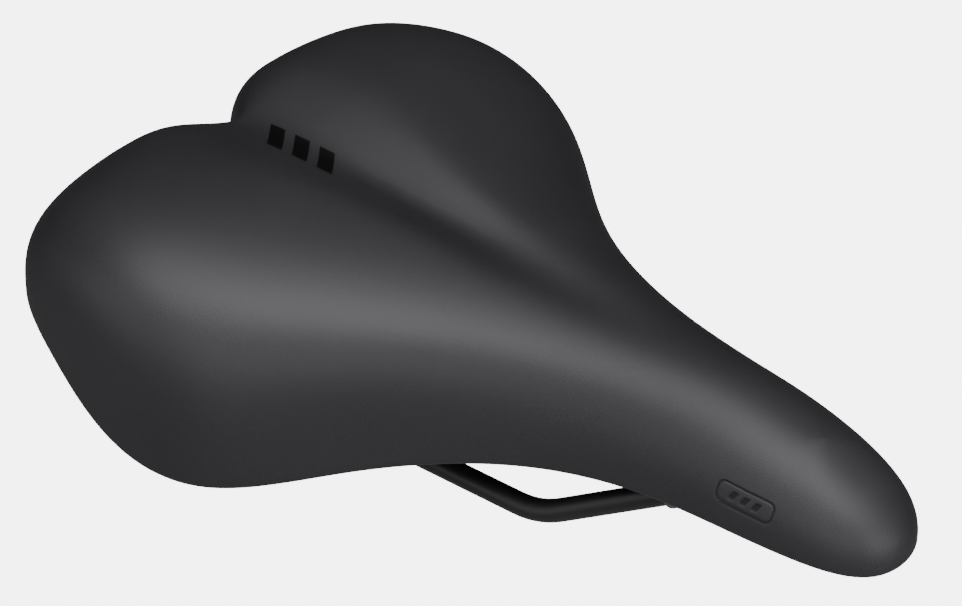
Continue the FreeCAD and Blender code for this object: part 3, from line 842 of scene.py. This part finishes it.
@dataclass
class Cover:
    """Seamless skin over the padding, rolled under the edge and stapled to the base."""

    shape: PaddingShape
    badge: Badge = field(default_factory=Badge)
    thickness: float = 1.2
    hem: float = 10.0
    lip_gap: float = 0.08
    rise_length: float = 3.5  # over which the roll meets the base's lip
    pleat: float = 0.5
    pleat_pitch: float = 4.6
    around: int = 176
    rings: int = 58
    badge_columns: int = 66
    badge_rings: int = 26
    badge_reach: float = 0.029  # of the closer columns, to each side of the badge
    badge_rise: tuple[float, float] = (0.07, 0.038)  # of the closer rings, above and below it
    gathered_bends: tuple[float, float] = (0.018, 0.05)  # turn per millimetre without and with pleats
    lip_search: float = 8.0  # below the expected height, where the search starts
    lip_spread: float = 3.0  # from the expected height that is still believed
    smoothings: int = 12  # of the lip's height along the edge
    roll_rings: int = 8
    hem_rings: int = 12
    even_fullness: float = 2.3  # section that the rings are spaced for
    name: str = "cover_skin"

    def shares_round(self) -> np.ndarray:
        """Shares round the half outline, close together beside the badge."""
        low, high = self.badge.s - self.badge_reach, self.badge.s + self.badge_reach
        return denser(np.linspace(0, 1, self.around), low, high, self.badge_columns)

    def shares_out(self) -> np.ndarray:
        """Shares from the spine to the edge, close together beside the badge."""
        angles = np.linspace(0, math.pi / 2, self.rings)
        base = np.sin(angles) ** (2 / self.even_fullness)
        above, below = self.badge_rise
        return denser(base, self.badge.t - above, self.badge.t + below, self.badge_rings)

    def lip_heights(self, s: np.ndarray, tree: BVHTree) -> np.ndarray:
        """Height of the base lip's underside round the left half.

        Args:
            s: Shares round the half outline.
            tree: The base's surface.

        Returns:
            Height at each share, smoothed along the edge.
        """
        x, y, own = self.shape.half_outline(s, self.hem - 1.0)
        expected = self.shape.edge_height(own) - self.shape.roll / 2 + self.thickness + self.lip_gap
        found = []
        for px, py, guess in zip(x, y, expected):
            height = cast(tree, px, py, guess - self.lip_search, False)
            missed = height is None or abs(height - guess) > self.lip_spread
            found.append(guess if missed else height)
        smooth = np.array(found)
        for _ in range(self.smoothings):
            smooth[1:-1] = (smooth[:-2] + 2 * smooth[1:-1] + smooth[2:]) / 4
        return smooth

    def hem_level(self, s: np.ndarray, tree: BVHTree) -> np.ndarray:
        """Height of the hem's underside where it lies against the lip."""
        return self.lip_heights(s, tree) - self.lip_gap - self.thickness

    def gathering(self, s: np.ndarray) -> np.ndarray:
        """How much the turned-in skin gathers into pleats round the left half.

        Args:
            s: Shares round the half outline.

        Returns:
            Shares from 0 on straight runs to 1 on tight bends.
        """
        x, y, _ = self.shape.half_outline(s, 0.0)
        heading = np.unwrap(np.arctan2(np.gradient(y), np.gradient(x)))
        turn = np.abs(np.gradient(heading)) / np.maximum(np.hypot(np.gradient(x), np.gradient(y)), 1e-6)
        return smooth_step(*self.gathered_bends, turn)

    def rim(self, s: np.ndarray, tree: BVHTree) -> np.ndarray:
        """Rings of the rolled edge and the hem, for the left half.

        Args:
            s: Shares round the half outline.
            tree: The base's surface.

        Returns:
            Array of rings by shares by 3.
        """
        radius = self.shape.roll
        level = self.hem_level(s, tree)
        run = np.linspace(0, 1, len(s))
        x, y, own = self.shape.half_outline(s, 0.0)
        low = self.shape.edge_height(own)
        gather = self.gathering(s)
        travel = np.concatenate([[0], np.cumsum(np.hypot(np.diff(x), np.diff(y)))])
        wave = 0.5 - 0.5 * np.cos(2 * math.pi * travel / self.pleat_pitch + 0.8 * np.sin(9 * run))
        rows = []
        for angle in np.linspace(0, math.pi / 2, self.roll_rings)[1:]:
            px, py, _ = self.shape.half_outline(s, radius * (1 - math.cos(angle)))
            rows.append(np.stack([px, py, low - radius * math.sin(angle)], -1))
        for depth in np.linspace(radius, self.hem, self.hem_rings)[1:]:
            px, py, _ = self.shape.half_outline(s, depth)
            rise = smooth_step(radius, radius + self.rise_length, np.array(depth))
            height = (low - radius) * (1 - rise) + level * rise
            fold = self.pleat * gather * wave * smooth_step(radius, self.hem, np.array(depth))
            rows.append(np.stack([px, py, height - fold], -1))
        return np.array(rows)

    def press_badge(self, grid: np.ndarray, s: np.ndarray, t: np.ndarray) -> np.ndarray:
        """Presses the badge into whole rings of the top.

        Args:
            grid: Whole rings, changed in place.
            s: Shares round the half outline; not used.
            t: Shares out from the spine; not used.

        Returns:
            How deeply each point is pressed, as shares.
        """
        step = 0.004  # share between the points that give the surface's lie
        near = self.shape.surface(
            np.array([self.badge.s - step, self.badge.s, self.badge.s + step]),
            np.array([self.badge.t - step, self.badge.t, self.badge.t + step]),
        ) * np.array([1, -1, 1])
        middle = near[1, 1]
        along = near[1, 2] - near[1, 0]
        along /= np.linalg.norm(along)
        up = near[0, 1] - near[2, 1]
        up -= along * (up @ along)
        up /= np.linalg.norm(up)
        out = np.cross(along, up)
        out *= np.sign(-out[1])
        offset = grid - middle
        pressed = self.badge.amount(offset @ along, offset @ up)
        away = np.linalg.norm(offset, axis=-1) > self.badge.length
        pressed[away] = 0.0
        grid -= out * (pressed * self.badge.depth)[..., None]
        return pressed

    def build(self, tree: BVHTree) -> bpy.types.Object:
        """Makes the skin as a closed sheet of its real thickness.

        Args:
            tree: The base's surface.

        Returns:
            The piece.
        """
        s, t = self.shares_round(), self.shares_out()
        top = both_sides(self.shape.surface(s, t))
        pressed = self.press_badge(top, s, t)
        grid = np.concatenate([top, both_sides(self.rim(s, tree))])
        rows, columns = grid.shape[:2]
        depth = np.zeros((rows, columns))
        depth[: len(t)] = pressed
        faces = ring_faces(rows, columns)
        mesh = bpy.data.meshes.new(self.name)
        mesh.from_pydata((grid.reshape(-1, 3) * MM).tolist(), [], faces)
        # how deeply each point is pressed; the skin material paints shade into the badge from it
        layer = mesh.attributes.new(SkinFinish.badge_layer, "FLOAT", "POINT")
        layer.data.foreach_set("value", depth.ravel().astype(np.float32))
        work = bmesh.new()
        work.from_mesh(mesh)
        bmesh.ops.remove_doubles(work, verts=work.verts, dist=1e-6)
        work.to_mesh(mesh)
        work.free()
        mesh.shade_smooth()
        skin = link(self.name, mesh)
        wall = skin.modifiers.new("wall", "SOLIDIFY")
        wall.thickness = self.thickness * MM
        wall.offset = -1.0
        wall.use_even_offset = True
        return settle(skin, 60.0)


@dataclass
class GelPad:
    """Soft gel insert under one sit bone."""

    side: int  # 1 on the left, -1 on the right
    length: float = 92.0
    width: float = 50.0
    station_share: float = 0.24
    from_side: float = 49.0  # from the side of the tail to the pad's middle
    toe_in: float = 12.0
    depth: float = 3.9  # below the top surface
    thickness: float = 8.0
    fullness: float = 4.0
    pole: float = 0.02  # share of the rim's width at which the rings close
    around: int = 72
    rings: int = 20

    @property
    def name(self) -> str:
        """Piece name."""
        return "gel_insert_left" if self.side > 0 else "gel_insert_right"

    def rings_of(self, shape: PaddingShape, top: BVHTree, grow: float) -> np.ndarray:
        """Rings from the middle of the top over the rim to the middle of the bottom.

        Args:
            shape: The padding.
            top: Surface of the padded top.
            grow: Distance by which the pad is made bigger all round.

        Returns:
            Array of rings by points by 3.
        """
        angles = -np.linspace(0, 2 * math.pi, self.around, endpoint=False)
        turn = math.radians(-self.side * self.toe_in)
        centre_x = shape.stations([self.station_share])[0]
        centre_y = self.side * (shape.half_width - self.from_side)
        half = self.thickness / 2 + grow
        rows = []
        for angle in np.linspace(0, math.pi, self.rings):
            out = max(abs(math.sin(angle)), self.pole) ** (2 / self.fullness)
            up = math.copysign(abs(math.cos(angle)) ** (2 / self.fullness), math.cos(angle))
            px = (self.length / 2 + grow) * out * np.cos(angles)
            py = (self.width / 2 + grow) * out * np.sin(angles)
            x = centre_x + px * math.cos(turn) - py * math.sin(turn)
            y = centre_y + px * math.sin(turn) + py * math.cos(turn)
            z = []
            for one_x, one_y in zip(x, y):
                height = cast(top, one_x, one_y, ABOVE_ALL, True)
                z.append((height or 0.0) - self.depth - self.thickness / 2 + half * up)
            rows.append(np.stack([x, y, np.array(z)], -1))
        return np.array(rows)

    def faces_of(self, first: int = 0, inward: bool = False) -> list[tuple[int, ...]]:
        """Faces of the pad's rings, with both poles closed.

        Args:
            first: Index of the first point.
            inward: Whether the faces line a pocket.

        Returns:
            Point indices of each face.
        """
        faces: list[tuple[int, ...]] = list(ring_faces(self.rings, self.around, first))
        last = first + (self.rings - 1) * self.around
        faces.append(tuple(range(first + self.around - 1, first - 1, -1)))
        faces.append(tuple(range(last, last + self.around)))
        return [tuple(reversed(f)) for f in faces] if inward else faces

    def build(self, shape: PaddingShape, top: BVHTree) -> bpy.types.Object:
        """Makes the pad as a closed pillow.

        Args:
            shape: The padding.
            top: Surface of the padded top.

        Returns:
            The piece.
        """
        points = self.rings_of(shape, top, 0.0).reshape(-1, 3)
        return new_piece(self.name, points, self.faces_of())


@dataclass
class Foam:
    """Moulded foam between the skin and the base, pocketed for the gel."""

    cover: Cover
    inset: float = 1.35
    drop: float = 1.75
    base_inset: float = 5.8
    base_gap: float = 0.25
    pocket_gap: float = 0.15
    around: int = 150
    rings: int = 40
    even_fullness: float = 2.3  # section that the rings are spaced for
    name: str = "foam_core"

    def underside(self, s: np.ndarray, t: np.ndarray, tree: BVHTree) -> np.ndarray:
        """Whole rings that lie on the base, from the edge in to the spine.

        Args:
            s: Shares round the half outline.
            t: Falling shares from the edge to the spine.
            tree: The base's surface.

        Returns:
            Array of rings by points by 3.
        """
        shape = self.cover.shape
        plan = both_sides(shape.surface(s, t, self.base_inset))
        edge = shape.edge_height(shape.half_outline(s)[2])
        least = np.maximum(edge, self.cover.lip_heights(s, tree) + self.base_gap)
        floor = least[None, :, None] + np.zeros((1, len(s), 3))
        floor = both_sides(floor)[0, :, 2]
        for row in plan:
            for i, point in enumerate(row):
                height = cast(tree, point[0], point[1], ABOVE_ALL, True)
                point[2] = floor[i] if height is None else max(height + self.base_gap, floor[i])
        return plan

    def build(self, tree: BVHTree, top: BVHTree, gels: Sequence[GelPad]) -> bpy.types.Object:
        """Makes the foam as one closed solid with a pocket round each gel pad.

        Args:
            tree: The base's surface.
            top: Surface of the padded top.
            gels: Pads to make room for.

        Returns:
            The piece.
        """
        s = np.linspace(0, 1, self.around)
        t = np.sin(np.linspace(0, math.pi / 2, self.rings)) ** (2 / self.even_fullness)
        outside = both_sides(self.cover.shape.surface(s, t, self.inset, self.drop))
        grid = np.concatenate([outside, self.underside(s, t[::-1], tree)])
        points = [grid.reshape(-1, 3)]
        faces: list[tuple[int, ...]] = list(ring_faces(*grid.shape[:2]))
        for gel in gels:
            first = sum(len(p) for p in points)
            points.append(gel.rings_of(self.cover.shape, top, self.pocket_gap).reshape(-1, 3))
            faces += gel.faces_of(first, inward=True)
        return new_piece(self.name, np.concatenate(points), faces)


@dataclass
class StapleRow:
    """Staples all round the hem, laid along it by Geometry Nodes."""

    cover: Cover
    pitch: float = 15.0
    crown: float = 6.0
    leg: float = 2.4
    wire: float = 0.6
    bend: float = 0.7  # radius of the corners
    inset: float = 8.08
    points: int = 260  # of the line on each side
    name: str = "hem_staple_row"

    def path(self, tree: BVHTree) -> tuple[bpy.types.Object, float]:
        """Closed line along the hem's underside.

        Args:
            tree: The base's surface.

        Returns:
            The line's object and its length in millimetres.
        """
        s = np.linspace(0, 1, self.points)
        x, y, _ = self.cover.shape.half_outline(s, self.inset)
        lift = self.cover.pleat * self.cover.gathering(s) / 2
        z = self.cover.hem_level(s, tree) - self.wire / 2 - lift
        ring = both_sides(np.stack([x, y, z], -1)[None])[0]
        mesh = bpy.data.meshes.new(self.name)
        count = len(ring)
        mesh.from_pydata((ring * MM).tolist(), [(i, (i + 1) % count) for i in range(count)], [])
        line = link(self.name, mesh)
        x, y, _ = self.cover.shape.half_outline(s)
        return line, 2 * float(np.hypot(np.diff(x), np.diff(y)).sum())

    def tree(self) -> bpy.types.NodeTree:
        """Node tree that bends one staple and sets copies of it along the path."""
        group = bpy.data.node_groups.new("staple_row", "GeometryNodeTree")
        face = group.interface
        face.new_socket("Geometry", in_out="INPUT", socket_type="NodeSocketGeometry")
        face.new_socket("Count", in_out="INPUT", socket_type="NodeSocketInt")
        for key in ("Crown", "Leg", "Wire", "Bend"):
            face.new_socket(key, in_out="INPUT", socket_type="NodeSocketFloat")
        face.new_socket("Material", in_out="INPUT", socket_type="NodeSocketMaterial")
        face.new_socket("Geometry", in_out="OUTPUT", socket_type="NodeSocketGeometry")
        g = Graph(group)
        given, out = g.add("NodeGroupInput"), g.add("NodeGroupOutput")
        blank = g.add("GeometryNodeCurvePrimitiveLine").outputs[0]
        four = g.add("GeometryNodeResampleCurve", {"Curve": blank, "Count": 4})
        order = g.add("GeometryNodeInputIndex").outputs[0]
        right = g.math("GREATER_THAN", order, 1.5)
        across = g.math("MULTIPLY", g.math("SUBTRACT", right, 0.5), given.outputs["Crown"])
        end = g.math("GREATER_THAN", g.math("ABSOLUTE", g.math("SUBTRACT", order, 1.5)), 1.0)
        rise = g.math("MULTIPLY", end, given.outputs["Leg"])
        place = g.add("ShaderNodeCombineXYZ", {0: across, 2: rise}).outputs[0]
        bent = g.add("GeometryNodeSetPosition", {"Geometry": four.outputs[0], "Position": place})
        soft = g.add(
            "GeometryNodeFilletCurve",
            {"Curve": bent.outputs[0], "Radius": given.outputs["Bend"], "Count": 4, "Limit Radius": True},
            mode="POLY",
        )
        half = g.math("MULTIPLY", given.outputs["Wire"], 0.5)
        section = g.add("GeometryNodeCurvePrimitiveCircle", {"Resolution": 8, "Radius": half})
        rod = g.add(
            "GeometryNodeCurveToMesh",
            {"Curve": soft.outputs[0], "Profile Curve": section.outputs[0], "Fill Caps": True},
        )
        line = g.add("GeometryNodeMeshToCurve", {"Mesh": given.outputs["Geometry"]})
        marks = g.add(
            "GeometryNodeCurveToPoints",
            {"Curve": line.outputs[0], "Count": given.outputs["Count"]},
            mode="COUNT",
        )
        heading = g.add(
            "FunctionNodeAlignRotationToVector",
            {"Vector": marks.outputs["Tangent"]},
            axis="X",
            pivot_axis="Z",
        )
        tilt = g.add(
            "FunctionNodeAlignRotationToVector",
            {"Rotation": heading.outputs[0], "Vector": marks.outputs["Tangent"]},
            axis="X",
            pivot_axis="Y",
        )
        copies = g.add(
            "GeometryNodeInstanceOnPoints",
            {"Points": marks.outputs["Points"], "Instance": rod.outputs[0], "Rotation": tilt.outputs[0]},
        )
        real = g.add("GeometryNodeRealizeInstances", {"Geometry": copies.outputs[0]})
        smooth = g.add("GeometryNodeSetShadeSmooth", {"Geometry": real.outputs[0]})
        painted = g.add(
            "GeometryNodeSetMaterial",
            {"Geometry": smooth.outputs[0], "Material": given.outputs["Material"]},
        )
        group.links.new(painted.outputs[0], out.inputs[0])
        return group

    def build(self, tree: BVHTree, material: bpy.types.Material) -> bpy.types.Object:
        """Lays the staples and turns them into one plain mesh.

        Args:
            tree: The base's surface.
            material: Wire's finish.

        Returns:
            The piece.
        """
        line, length = self.path(tree)
        group = self.tree()
        row = line.modifiers.new("row", "NODES")
        row.node_group = group
        values = {
            "Count": int(length / self.pitch),
            "Crown": (self.crown - self.wire) * MM,
            "Leg": self.leg * MM,
            "Wire": self.wire * MM,
            "Bend": self.bend * MM,
            "Material": material,
        }
        for item in group.interface.items_tree:
            if item.in_out == "INPUT" and item.name in values:
                row[item.identifier] = values[item.name]
        return settle(line, 45.0)


@dataclass
class Hardware:
    """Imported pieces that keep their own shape: base, rails and their fastenings."""

    finishes: Mapping[str, Finish]

    def dress(self, shaders: ShaderLibrary) -> None:
        """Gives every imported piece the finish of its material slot.

        Args:
            shaders: Shared groups.
        """
        made: dict[str, bpy.types.Material] = {}
        for entry in frame["record"]["subparts"]:
            node, slot = entry["node"], entry["material_slot"]
            if slot not in self.finishes:
                continue
            if slot not in made:
                made[slot] = self.finishes[slot].build(shaders)
            clothe(frame["nodes"][node], made[slot])
            LOG.info("%s dressed as %s", node, slot)


@dataclass
class SoftBox:
    """One large, even light."""

    name: str
    azimuth: float  # degrees from the side on -Y towards the nose
    elevation: float
    power: float
    width: float = 1.1
    height: float = 0.8
    distance: float = 1.2

    def build(self, target: Vector) -> None:
        """Hangs the light and turns it to a target.

        Args:
            target: Point that it faces.
        """
        az, el = math.radians(self.azimuth), math.radians(self.elevation)
        way = Vector((math.sin(az) * math.cos(el), -math.cos(az) * math.cos(el), math.sin(el)))
        place = self.distance * way
        data = bpy.data.lights.new(self.name, "AREA")
        data.shape = "RECTANGLE"
        data.size, data.size_y = self.width, self.height
        data.energy = self.power
        lamp = link(self.name, data)
        lamp.location = target + place
        lamp.rotation_mode = "QUATERNION"
        lamp.rotation_quaternion = (-place).to_track_quat("-Z", "Y")
        lamp.visible_camera = False


@dataclass
class Studio:
    """Pale floor, soft lights and the camera."""

    floor_drop: float = 0.5
    floor_size: float = 12.0
    floor_colour: Colour = (1.0, 1.0, 1.0)
    floor_glow: float = 5.8
    azimuth: float = 38.41
    elevation: float = 34.16
    roll: float = 0.29
    distance: float = 866.0
    lens: float = 111.48
    aim: tuple[float, float, float] = (11.6, 0.0, 40.0)
    slide: tuple[float, float] = (-6.477, 6.927)
    world: float = 0.015
    lights: tuple[SoftBox, ...] = (
        SoftBox("low_right", 30.0, 8.0, 5.9),
        SoftBox("low_front", 90.0, 8.0, 9.3),
        SoftBox("low_rear", 330.0, 8.0, 4.2),
        SoftBox("high_right", 0.0, 58.0, 9.6),
        SoftBox("high_front", 90.0, 58.0, 12.0),
        SoftBox("overhead", 0.0, 88.0, 8.8),
    )

    def build_floor(self) -> None:
        """Lays the pale floor well below the object."""
        mesh = bpy.data.meshes.new("floor")
        half, low = self.floor_size / 2, CAD_BOX[0].z - self.floor_drop
        corners = [(-half, -half, low), (half, -half, low), (half, half, low), (-half, half, low)]
        mesh.from_pydata(corners, [], [(0, 1, 2, 3)])
        floor = link("floor", mesh)
        material = bpy.data.materials.new("pale_floor")
        material.use_nodes = True
        material.node_tree.nodes.clear()
        g = Graph(material.node_tree)
        pale = g.add("ShaderNodeEmission", {"Color": (*self.floor_colour, 1), "Strength": self.floor_glow})
        dull = g.add("ShaderNodeBsdfDiffuse", {"Color": (0.3, 0.3, 0.3, 1)})
        seen = g.add("ShaderNodeLightPath").outputs["Is Camera Ray"]
        both = g.add("ShaderNodeMixShader", {0: seen, 1: dull.outputs[0], 2: pale.outputs[0]})
        below = g.add("ShaderNodeNewGeometry").outputs["Backfacing"]
        clear = g.add("ShaderNodeBsdfTransparent")
        side = g.add("ShaderNodeMixShader", {0: below, 1: both.outputs[0], 2: clear.outputs[0]})
        g.add("ShaderNodeOutputMaterial", {"Surface": side.outputs[0]})
        mesh.materials.append(material)

    def build_world(self) -> None:
        """Dim, even surroundings that look as pale as the floor from the camera."""
        world = bpy.data.worlds.new("surroundings")
        world.use_nodes = True
        world.node_tree.nodes.clear()
        g = Graph(world.node_tree)
        dim = g.add("ShaderNodeBackground", {"Color": (1, 1, 1, 1), "Strength": self.world})
        pale = g.add("ShaderNodeBackground", {"Color": (1, 1, 1, 1), "Strength": self.floor_glow})
        seen = g.add("ShaderNodeLightPath").outputs["Is Camera Ray"]
        both = g.add("ShaderNodeMixShader", {0: seen, 1: dim.outputs[0], 2: pale.outputs[0]})
        g.add("ShaderNodeOutputWorld", {"Surface": both.outputs[0]})
        bpy.context.scene.world = world

    def build_camera(self) -> None:
        """Sets the camera at the viewing angle."""
        az, el, lean = (math.radians(v) for v in (self.azimuth, self.elevation, self.roll))
        back = Vector((math.sin(az) * math.cos(el), -math.cos(az) * math.cos(el), math.sin(el)))
        level = Vector((math.cos(az), math.sin(az), 0))
        raised = back.cross(level)
        right = level * math.cos(lean) + raised * math.sin(lean)
        up = raised * math.cos(lean) - level * math.sin(lean)
        place = Vector(self.aim) + right * self.slide[0] + up * self.slide[1] + back * self.distance
        data = bpy.data.cameras.new("camera")
        data.lens, data.sensor_width = self.lens, 36.0
        data.clip_start, data.clip_end = 0.01, 50.0
        camera = link("camera", data)
        turned = Matrix((right, up, back)).transposed().to_4x4()
        camera.matrix_world = Matrix.Translation(place * MM) @ turned
        bpy.context.scene.camera = camera

    def build(self) -> None:
        """Builds the whole set."""
        self.build_floor()
        self.build_world()
        self.build_camera()
        target = (CAD_BOX[0] + CAD_BOX[1]) / 2
        for light in self.lights:
            light.build(target)


FINISHES: dict[str, Finish] = {
    "base_plastic": Finish(
        "moulded_plastic", (0.022, 0.022, 0.023), (0.028, 0.028, 0.029), 0.58,
        uneven=0.08, cells=900.0, relief=0.03, dust=0.15,
    ),
    "rail_paint": MetalFinish(
        "rail_gloss_paint", (0.006, 0.006, 0.0065), (0.008, 0.008, 0.0085), 0.44,
        uneven=0.02, specular=0.4, cells=260.0, fine=0.1, relief=0.0015, mark=0.03, mark_tint=0.03,
        dust=0.02,
    ),
    "sleeve_nylon": Finish(
        "sleeve_nylon", (0.05, 0.05, 0.054), (0.06, 0.06, 0.064), 0.46,
        cells=1600.0, relief=0.008,
    ),
    "keeper_steel": MetalFinish(
        "keeper_paint", (0.026, 0.026, 0.028), (0.034, 0.034, 0.036), 0.4,
        coat=0.2, coat_roughness=0.3, cells=700.0, relief=0.012, mark=0.1,
    ),
    "keeper_plastic": Finish(
        "keeper_plastic", (0.03, 0.03, 0.032), (0.037, 0.037, 0.039), 0.48,
        cells=1100.0, relief=0.018,
    ),
    "screw_steel": MetalFinish(
        "zinc_screw", (0.52, 0.52, 0.53), (0.43, 0.43, 0.45), 0.34,
        metallic=1.0, cells=1500.0, relief=0.006, density=900.0, stretch=0.3, mark=0.15,
    ),
}
SKIN = SkinFinish(
    "matte_skin", (0.0098, 0.0093, 0.0107), (0.0112, 0.0107, 0.0123), 0.5,
    uneven=0.03, specular=0.5, tint=(0.975, 0.945, 1.0), cells=1500.0, fine=0.5, relief=0.012,
    cloud_size=18.0, dust=0.1,
)
FOAM = FoamFinish(
    "moulded_foam", (0.6, 0.57, 0.48), (0.66, 0.63, 0.54), 0.85,
    uneven=0.05, specular=0.3, cells=800.0, relief=0.12, dust=0.1,
)
GEL = GelFinish(
    "clear_gel", (0.5, 0.62, 0.76), (0.56, 0.68, 0.8), 0.18,
    uneven=0.04, cells=260.0, fine=0.1, relief=0.02, dust=0.4,
)
STAPLE = MetalFinish(
    "staple_wire", (0.58, 0.58, 0.58), (0.48, 0.48, 0.5), 0.28,
    metallic=1.0, cells=1800.0, relief=0.004, density=1400.0, stretch=0.2, mark=0.12,
)


def report(piece: bpy.types.Object) -> None:
    """Logs one finished piece."""
    LOG.info("%s: %d points, %d faces", piece.name, len(piece.data.vertices), len(piece.data.polygons))


def seat(piece: bpy.types.Object, slot: str, *nodes: str) -> None:
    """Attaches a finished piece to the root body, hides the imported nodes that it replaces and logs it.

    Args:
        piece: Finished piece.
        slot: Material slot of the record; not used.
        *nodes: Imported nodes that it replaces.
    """
    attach(piece, ROOT)
    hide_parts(*nodes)
    report(piece)


def main() -> None:
    """Builds the saddle's soft pieces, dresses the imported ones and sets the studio."""
    logging.basicConfig(level=logging.INFO, format="%(name)s: %(message)s")
    shaders = ShaderLibrary()
    shape = PaddingShape()
    base = surface_tree(frame["nodes"]["base_shell"].data)
    Studio().build()

    cover = Cover(shape)
    skin = cover.build(base)
    clothe(skin, SKIN.build(shaders))
    top = surface_tree(skin.data)
    seat(skin, "cover_leather", "cover")

    gels = [GelPad(1), GelPad(-1)]
    foam = Foam(cover).build(base, top, gels)
    clothe(foam, FOAM.build(shaders))
    seat(foam, "seat_foam", "foam_pad")

    gel_material = GEL.build(shaders)
    for gel, node in zip(gels, ("gel_pad_left", "gel_pad_right")):
        pad = gel.build(shape, top)
        clothe(pad, gel_material)
        seat(pad, "gel", node)

    staples = StapleRow(cover).build(base, STAPLE.build(shaders))
    seat(staples, "staple_steel", "hem_staples")

    Hardware(FINISHES).dress(shaders)


if __name__ == "__main__":
    main()
